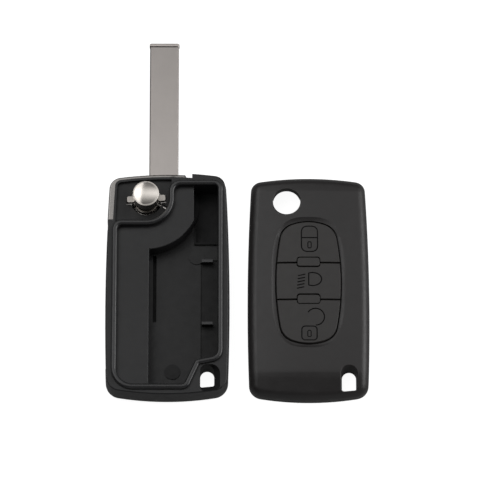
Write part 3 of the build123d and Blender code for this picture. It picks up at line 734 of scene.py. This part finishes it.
class CARKEY_OT_keys(bpy.types.Operator):
    """Key pad with its three keys and their signs"""
    bl_idname = "car_key.keys"
    bl_label = "Keys"

    def execute(self, context):
        colours = context.scene.car_key_colours
        sizes = context.scene.car_key_sizes
        rubber = moulded_plastic(
            "pad_rubber", colours.keys, grain=8000, grain_depth=10 * MICRON,
            roughness=(0.44, 0.54), mottling=0.05, gloss=0.5)
        # painted shade in the engraved lines of the signs
        groove_shade = moulded_plastic(
            "sign_lines", colours.signs, grain=8000, grain_depth=10 * MICRON,
            roughness=(0.6, 0.7), mottling=0.05, gloss=0.2)
        pad = moulded_copy("key_pad", "key_pad_moulding")
        pad.data.materials.append(rubber)
        self.round_tabs(pad)
        shade(pad)
        finish_piece(pad, "shell", "pad_rubber", "key_pad")
        signs = {
            "lock_key": closed_padlock(), "lights_key": headlamp(), "unlock_key": open_padlock()}
        for (node, sign), depth in zip(signs.items(), sizes.sign_depths):
            key = moulded_copy(node, node + "_moulding")
            key.data.materials.append(rubber)
            self.draw_in(key, sizes.groove)
            engrave(key, node, sign, depth, groove_shade)
            shade(key)
            finish_piece(key, node, "pad_rubber", node)
        return {"FINISHED"}

    def draw_in(self, key, groove):
        """Draws in the part of a key above its flange, which opens the groove around it."""
        for vertex in key.data.vertices:
            if vertex.co.z > FLANGE_TOP:
                for axis, share in enumerate(groove):
                    vertex.co[axis] -= share * (vertex.co[axis] - OVAL_MIDDLE[axis])

    def round_tabs(self, pad):
        """Draws in the tops of the two tabs between the keys."""
        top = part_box("key_pad")[1][2]
        for vertex in pad.data.vertices:
            if vertex.co.z < top - TAB_TOP:
                continue
            x, y = (vertex.co[axis] - COVER_MIDDLE[axis] for axis in (0, 1))
            middle_y = TAB_MIDDLES[0] if y > 0 else TAB_MIDDLES[1]
            vertex.co.x -= TAB_DRAW[0] * x
            vertex.co.y -= TAB_DRAW[1] * (y - middle_y)


# Blade

TIP_SLOPE = 1.0 * MM  # length of the slope at the blade's tip
TIP_LINE_PLACE = 1.23 * MM  # middle of the scored line, from the tip
BRUSHED = (9000, 260, 9000)  # scale of the blade's lines, which run along Y


class CARKEY_OT_blade(bpy.types.Operator):
    """Blade, its head and the pin that joins them"""
    bl_idname = "car_key.blade"
    bl_label = "Blade"

    def execute(self, context):
        colours = context.scene.car_key_colours
        sizes = context.scene.car_key_sizes
        # painted shade: the blade darkens from its head towards its tip
        steel = worked_metal(
            "blade_steel", colours.blade, (0.3, 0.42), BRUSHED, 4 * MICRON,
            painted_falloff=(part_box("blade_head")[1][1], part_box("blade")[1][1]))
        # painted highlight: the tip's slope is 1.3 times the blade's colour, and rougher
        slope = worked_metal(
            "blade_tip_highlight", shaded(colours.blade, 1.3), (0.5, 0.6), BRUSHED, 2 * MICRON)
        casting = worked_metal(
            "head_metal", colours.head, (0.16, 0.3), (1400, 1400, 1400), 4 * MICRON)
        rolled = worked_metal(
            "pin_steel", colours.spring, (0.2, 0.3), (3000, 3000, 3000), 3 * MICRON)
        blade = moulded_copy("blade", "blade_blank")
        blade.data.materials.append(steel)
        self.score_tip(blade, slope, sizes.tip_line)
        head = moulded_copy("blade_head", "blade_head_casting")
        head.data.materials.append(casting)
        self.break_edges(head, *sizes.head_edge)
        pin = moulded_copy("roll_pin", "roll_pin_tube")
        pin.data.materials.append(rolled)
        for piece, slot, node in (
                (blade, "blade_steel", "blade"), (head, "head_metal", "blade_head"),
                (pin, "spring_steel", "roll_pin")):
            shade(piece)
            finish_piece(piece, "head", slot, node)
        return {"FINISHED"}

    def score_tip(self, blade, slope, line):
        """Scores the line that the tip slopes away from, and gives the slope a lighter, rougher
        finish, which is a painted highlight.
        """
        tip = max(vertex.co.y for vertex in blade.data.vertices)
        top = max(vertex.co.z for vertex in blade.data.vertices)
        middle = tip - TIP_LINE_PLACE
        with edited(blade) as shape:
            for place in (middle - line, middle, middle + line):
                bmesh.ops.bisect_plane(
                    shape, geom=all_of(shape), plane_co=(0, place, 0), plane_no=(0, 1, 0))
            for vertex in shape.verts:
                if abs(vertex.co.y - middle) < 2 * NEAR and vertex.co.z > top - NEAR:
                    vertex.co.z -= line
        blade.data.materials.append(slope)
        for face in blade.data.polygons:
            if face.center.y > tip - TIP_SLOPE and face.normal.z > UPWARD:
                face.material_index = 1

    def break_edges(self, head, width, drop):
        """Bevels the upper outer edges of the casting, flatter than a chamfer."""
        with edited(head) as shape:
            top = max(vertex.co.z for vertex in shape.verts)
            edges = [
                edge for edge in shape.edges
                if all(vertex.co.z > top - NEAR for vertex in edge.verts)
                and sorted(face.normal.z > LEVEL for face in edge.link_faces) == [False, True]]
            bmesh.ops.bevel(
                shape, geom=edges, offset=width, affect="EDGES", segments=1, profile=0.5,
                material=-1)
            for vertex in shape.verts:
                if abs(vertex.co.z - top + width) < NEAR:
                    vertex.co.z = top - drop


# Release button. The rim's and the lugs' places are distances from its axis.

DOME_DEPTH = 1.35 * MM  # of the solid's dome, from its top
RIM_START = 3.65 * MM
CUP_RADIUS = 4.05 * MM
LUG_ENDS = 5.5 * MM
LUG_HEIGHT = 1 * MM  # edges longer than this are the lugs' upright corners
CHROME, LUG, RIM = range(3)


def from_axis(place):
    """Distance of a place from the button's axis."""
    return hypot(place[0] - BUTTON_AXIS[0], place[1] - BUTTON_AXIS[1])


class CARKEY_OT_release_button(bpy.types.Operator):
    """Domed chrome button that lets the blade out"""
    bl_idname = "car_key.release_button"
    bl_label = "Release Button"

    def execute(self, context):
        colour = context.scene.car_key_colours.chrome
        sizes = context.scene.car_key_sizes
        chrome = worked_metal(
            "button_chrome", colour, (0.12, 0.17), (700, 700, 700), 1 * MICRON)
        lug = worked_metal(
            "lug_metal", shaded(colour, 0.6), (0.3, 0.4), (1400, 1400, 1400), 2 * MICRON)
        # painted highlight: a lighter, half-metallic ring round the dome's edge
        rim = worked_metal(
            "rim_highlight_metal", shaded(colour, 1.25), (0.25, 0.35), (1400, 1400, 1400), 1 * MICRON,
            metallic=0.4)
        cup = moulded_copy("release_button", "release_button_cup")
        for finish in (chrome, lug, rim):
            cup.data.materials.append(finish)
        self.round_lugs(cup, sizes.lug_round)
        top = button_high[2]
        for vertex in cup.data.vertices:
            if vertex.co.z > top - DOME_DEPTH:
                vertex.co.z = top - sizes.dome_share * (top - vertex.co.z)
        for face in cup.data.polygons:
            out = from_axis(face.center)
            if out > CUP_RADIUS:
                face.material_index = LUG
            elif out > RIM_START and face.normal.z > UPWARD and face.center.z > top - DOME_DEPTH:
                face.material_index = RIM
            else:
                face.material_index = CHROME
        shade(cup)
        finish_piece(cup, "release_button", "button_chrome", "release_button")
        return {"FINISHED"}

    def round_lugs(self, cup, rounding):
        """Rounds the outer corners of the two lugs."""
        with edited(cup) as shape:
            corners = [
                edge for edge in shape.edges
                if all(from_axis(vertex.co) > LUG_ENDS for vertex in edge.verts)
                and abs(edge.verts[0].co.z - edge.verts[1].co.z) > LUG_HEIGHT]
            bmesh.ops.bevel(
                shape, geom=corners, offset=rounding, affect="EDGES", segments=4, profile=0.5,
                material=-1)


# Flip spring. Its legs leave the coil in the direction LEG_TURN from the button's axis.

LEG_TURN = radians(-30)
COIL_REACH = 4.1 * MM
LEG_START = 4.14 * MM


class CARKEY_OT_flip_spring(bpy.types.Operator):
    """Coil spring that swings the blade out"""
    bl_idname = "car_key.flip_spring"
    bl_label = "Flip Spring"

    def execute(self, context):
        wire = worked_metal(
            "spring_wire", context.scene.car_key_colours.spring, (0.2, 0.32),
            (2500, 2500, 2500), 3 * MICRON)
        coil = self.part_of_spring("flip_spring_coil", wire)
        finish_piece(coil, "shell", "spring_steel", "flip_spring")
        upper = self.part_of_spring("flip_spring_upper_leg", wire, side=1)
        finish_piece(upper, "shell", "spring_steel")
        lower = self.part_of_spring("flip_spring_lower_leg", wire, side=-1)
        finish_piece(lower, "head", "spring_steel")
        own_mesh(coil)
        return {"FINISHED"}

    def part_of_spring(self, name, wire, side=0):
        """Coil, or the leg above (1) or below (-1), which stays in the plate or the head."""
        leg = side != 0
        along = Vector((cos(LEG_TURN), sin(LEG_TURN), 0))
        low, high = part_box("flip_spring")
        shape = bmesh.new()
        shape.from_mesh(nodes["flip_spring"].data)
        bmesh.ops.remove_doubles(shape, verts=shape.verts, dist=MERGE_DISTANCE)
        bmesh.ops.bisect_plane(
            shape, geom=all_of(shape), plane_no=along, clear_inner=leg, clear_outer=not leg,
            plane_co=BUTTON_AXIS + (LEG_START if leg else COIL_REACH) * along)
        if leg:
            bmesh.ops.bisect_plane(
                shape, geom=all_of(shape), plane_co=(0, 0, (low[2] + high[2]) / 2),
                plane_no=(0, 0, side), clear_inner=True)
        bmesh.ops.holes_fill(
            shape, edges=[edge for edge in shape.edges if edge.is_boundary], sides=0)
        part = new_piece(name, shape)
        part.data.materials.append(wire)
        shade(part)
        return part


# Stage. Each panel has the name of its brightness, azimuth and height in degrees, distance, and
# size along Y and across. The sky's grey is given at places between -1 and 1 along Y and along
# X, and the two are multiplied.

PANELS = (
    ("right_panel", 0, 28, 1.1, (0.9, 0.6)),
    ("left_panel", 150, 57, 1.2, (1.8, 0.74)))
SKY_ALONG = (
    (-0.95, 0.3), (-0.78, 0.04), (-0.1, 0.05), (0.1, 0.26), (0.34, 1.0), (0.45, 0.82),
    (0.58, 0.24), (0.92, 0.02))
SKY_ACROSS = ((-0.9, 0.2), (-0.3, 0.85), (0.0, 1.0), (0.5, 1.2))
FLOOR_REACH = 20.0
FLOOR_GAP = 0.02 * MM  # keeps the floor clear of the solids that rest on it


class CARKEY_OT_stage(bpy.types.Operator):
    """Pale floor, soft light and the camera above the key"""
    bl_idname = "car_key.stage"
    bl_label = "Stage"

    def execute(self, context):
        stage = context.scene.car_key_stage
        self.lay_floor(stage)
        self.hang_lamps(stage)
        self.set_world(stage)
        self.place_camera(stage)
        context.scene.view_settings.view_transform = "Standard"
        return {"FINISHED"}

    def lay_floor(self, stage):
        """Floor that shows white to the camera and keeps the soft shadow."""
        shape = bmesh.new()
        bmesh.ops.create_grid(shape, x_segments=1, y_segments=1, size=FLOOR_REACH)
        bmesh.ops.translate(shape, verts=shape.verts, vec=(0, 0, cad_box[0][2] - FLOOR_GAP))
        floor = new_piece("floor", shape)
        material, tree, shader = new_material("floor_paper")
        shader.inputs["Base Color"].default_value = (*stage.floor, 1)
        shader.inputs["Roughness"].default_value = 0.9
        shader.inputs["Specular IOR Level"].default_value = 0.0
        shader.inputs["Emission Color"].default_value = (1, 1, 1, 1)
        seen = tree.nodes.new("ShaderNodeLightPath")
        mirrored = tree.nodes.new("ShaderNodeMath")
        mirrored.operation = "MAXIMUM"
        dimmed = tree.nodes.new("ShaderNodeMath")
        dimmed.operation = "MULTIPLY"
        dimmed.inputs[1].default_value = stage.mirrored_glow
        lift = tree.nodes.new("ShaderNodeMath")
        lift.operation = "MULTIPLY_ADD"
        lift.inputs[1].default_value = stage.floor_glow
        tree.links.new(seen.outputs["Is Glossy Ray"], mirrored.inputs[0])
        tree.links.new(seen.outputs["Is Transmission Ray"], mirrored.inputs[1])
        tree.links.new(mirrored.outputs[0], dimmed.inputs[0])
        tree.links.new(seen.outputs["Is Camera Ray"], lift.inputs[0])
        tree.links.new(dimmed.outputs[0], lift.inputs[2])
        tree.links.new(lift.outputs[0], shader.inputs["Emission Strength"])
        floor.data.materials.append(material)

    def hang_lamps(self, stage):
        """Two panels that face the middle of the table, with one side along Y."""
        for name, azimuth, height, distance, size in PANELS:
            light = bpy.data.lights.new(name, "AREA")
            light.shape = "RECTANGLE"
            light.size, light.size_y = size
            light.energy = getattr(stage, name) * pi * size[0] * size[1]
            lamp = bpy.data.objects.new(name, light)
            bpy.context.scene.collection.objects.link(lamp)
            towards = Vector((
                cos(radians(height)) * cos(radians(azimuth)),
                cos(radians(height)) * sin(radians(azimuth)),
                sin(radians(height))))
            along = (Vector((0, 1, 0)) - towards.y * towards).normalized()
            lamp.location = towards * distance
            lamp.rotation_euler = Matrix(
                (along, towards.cross(along), towards)).transposed().to_euler()

    def set_world(self, stage):
        """Soft light from above and behind the key, dark at the front; white to the camera."""
        world = bpy.data.worlds.new("studio")
        bpy.context.scene.world = world
        world.use_nodes = True
        tree = world.node_tree
        light = tree.nodes["Background"]
        light.inputs["Strength"].default_value = stage.surround
        source = tree.nodes.new("ShaderNodeTexCoord")
        parts = tree.nodes.new("ShaderNodeSeparateXYZ")
        tree.links.new(source.outputs["Generated"], parts.inputs["Vector"])
        along = self.sky(tree, parts.outputs["Y"], SKY_ALONG)
        across = self.sky(tree, parts.outputs["X"], SKY_ACROSS)
        both = tree.nodes.new("ShaderNodeVectorMath")
        both.operation = "MULTIPLY"
        tree.links.new(along, both.inputs[0])
        tree.links.new(across, both.inputs[1])
        tree.links.new(both.outputs["Vector"], light.inputs["Color"])
        backdrop = tree.nodes.new("ShaderNodeBackground")
        seen = tree.nodes.new("ShaderNodeLightPath")
        choice = tree.nodes.new("ShaderNodeMixShader")
        tree.links.new(seen.outputs["Is Camera Ray"], choice.inputs["Fac"])
        tree.links.new(light.outputs["Background"], choice.inputs[1])
        tree.links.new(backdrop.outputs["Background"], choice.inputs[2])
        tree.links.new(choice.outputs["Shader"], tree.nodes["World Output"].inputs["Surface"])

    def sky(self, tree, direction, steps):
        """Grey of the sky along one axis."""
        spread = tree.nodes.new("ShaderNodeMapRange")
        spread.inputs["From Min"].default_value = -1.0
        shades = tree.nodes.new("ShaderNodeValToRGB")
        tree.links.new(direction, spread.inputs["Value"])
        tree.links.new(spread.outputs["Result"], shades.inputs["Fac"])
        for _ in range(len(steps) - 2):
            shades.color_ramp.elements.new(0.5)
        for element, (place, grey) in zip(shades.color_ramp.elements, steps):
            element.position = (place + 1) / 2
            element.color = (grey, grey, grey, 1)
        return shades.outputs["Color"]

    def place_camera(self, stage):
        data = bpy.data.cameras.new("photo_camera")
        camera = bpy.data.objects.new("photo_camera", data)
        bpy.context.scene.collection.objects.link(camera)
        away = Vector((0, -cos(stage.elevation), sin(stage.elevation)))
        camera.location = Vector((stage.look_x, stage.look_y, 0)) + away * stage.distance
        camera.rotation_euler = away.to_track_quat("Z", "Y").to_euler()
        data.sensor_fit = "HORIZONTAL"
        data.angle = 2 * atan(stage.view_width / 2 / stage.distance)
        data.clip_start = 0.01
        data.clip_end = 60
        bpy.context.scene.camera = camera


OPERATORS = (
    CARKEY_OT_stage,
    CARKEY_OT_rear_case,
    CARKEY_OT_front_cover,
    CARKEY_OT_keys,
    CARKEY_OT_blade,
    CARKEY_OT_release_button,
    CARKEY_OT_flip_spring,
)


class CARKEY_PT_pieces(bpy.types.Panel):
    """Pieces of the car key in the sidebar"""
    bl_label = "Car Key"
    bl_idname = "CARKEY_PT_pieces"
    bl_space_type = "VIEW_3D"
    bl_region_type = "UI"
    bl_category = "Car Key"

    def draw(self, context):
        layout = self.layout
        scene = context.scene
        for group in (scene.car_key_colours, scene.car_key_sizes, scene.car_key_stage):
            for name in group.__annotations__:
                layout.prop(group, name)
        for operator in OPERATORS:
            layout.operator(operator.bl_idname)


CLASSES = (CarKeyColours, CarKeySizes, CarKeyStage, *OPERATORS, CARKEY_PT_pieces)


def register():
    for entry in CLASSES:
        bpy.utils.register_class(entry)
    bpy.types.Scene.car_key_colours = PointerProperty(type=CarKeyColours)
    bpy.types.Scene.car_key_sizes = PointerProperty(type=CarKeySizes)
    bpy.types.Scene.car_key_stage = PointerProperty(type=CarKeyStage)


def unregister():
    del bpy.types.Scene.car_key_stage
    del bpy.types.Scene.car_key_sizes
    del bpy.types.Scene.car_key_colours
    for entry in reversed(CLASSES):
        bpy.utils.unregister_class(entry)


def main():
    register()
    for operator in OPERATORS:
        group, name = operator.bl_idname.split(".")
        getattr(getattr(bpy.ops, group), name)()


if __name__ == "__main__":
    main()
